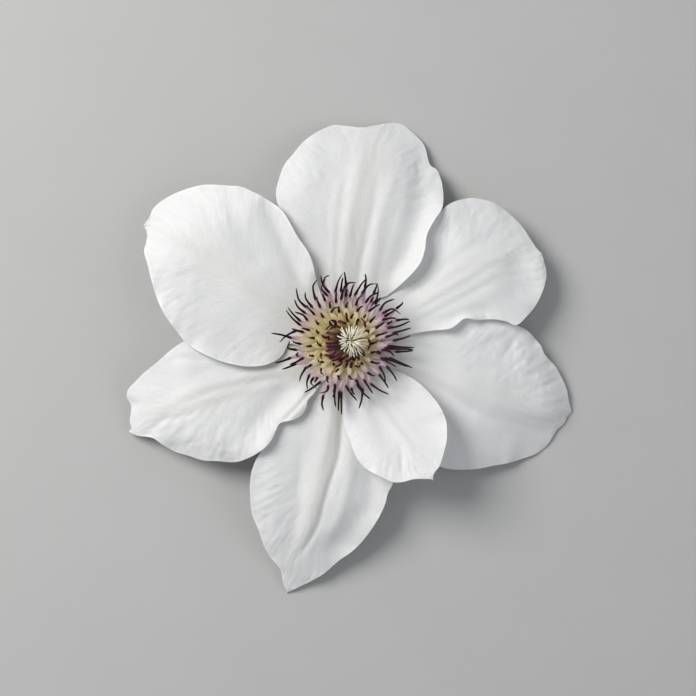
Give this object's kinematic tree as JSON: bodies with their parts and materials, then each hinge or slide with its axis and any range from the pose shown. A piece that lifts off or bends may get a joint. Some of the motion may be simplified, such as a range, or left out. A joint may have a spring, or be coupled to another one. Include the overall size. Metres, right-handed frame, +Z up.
{
  "type": "clematis flower",
  "caption": "Open white clematis flower laid face up: overlapping pointed tepals round a dense boss of dark-tipped stamens and a pale tuft of styles, with a short bent stalk.",
  "frame": {"origin": "middle of the flower's bounding box, on the surface that it lies on", "axes": "+Z up out of the flower's face, +Y towards the north tepal, which is up in a view from above, +X to the right in that view"},
  "size_m": [0.1504, 0.1584, 0.0253],
  "materials": {
    "tepal": "matt white petal tissue with fine veins, cool grey in shade",
    "stamen": "cream filaments turning mauve, with dark maroon anthers",
    "style": "silky cream styles, yellow-green at the centre",
    "receptacle": "fresh green plant tissue, finely ribbed",
    "stalk": "green stalk flushed brown, grooved lengthwise, pale at the cut"
  },
  "bodies": {
    "root": {"pedicel": "stalk", "receptacle": "receptacle", "stamens_inner_01": "stamen", "stamens_inner_02": "stamen", "stamens_inner_03": "stamen", "stamens_inner_04": "stamen", "stamens_inner_05": "stamen", "stamens_inner_06": "stamen", "stamens_outer_01": "stamen", "stamens_outer_02": "stamen", "stamens_outer_03": "stamen", "stamens_outer_04": "stamen", "stamens_outer_05": "stamen", "stamens_outer_06": "stamen", "stamens_outer_07": "stamen", "stamens_outer_08": "stamen", "stamens_second_01": "stamen", "stamens_second_02": "stamen", "stamens_second_03": "stamen", "stamens_second_04": "stamen", "stamens_second_05": "stamen", "stamens_second_06": "stamen", "stamens_second_07": "stamen", "stamens_second_08": "stamen", "stamens_second_09": "stamen", "stamens_second_10": "stamen", "stamens_third_01": "stamen", "stamens_third_02": "stamen", "stamens_third_03": "stamen", "stamens_third_04": "stamen", "stamens_third_05": "stamen", "stamens_third_06": "stamen", "stamens_third_07": "stamen", "stamens_third_08": "stamen", "styles_01": "style", "styles_02": "style", "styles_03": "style", "styles_04": "style", "styles_05": "style", "styles_06": "style", "tepal_east": "tepal", "tepal_north": "tepal", "tepal_north_east": "tepal", "tepal_north_west": "tepal", "tepal_south": "tepal", "tepal_south_small": "tepal", "tepal_west": "tepal"}
  },
  "joints": []
}
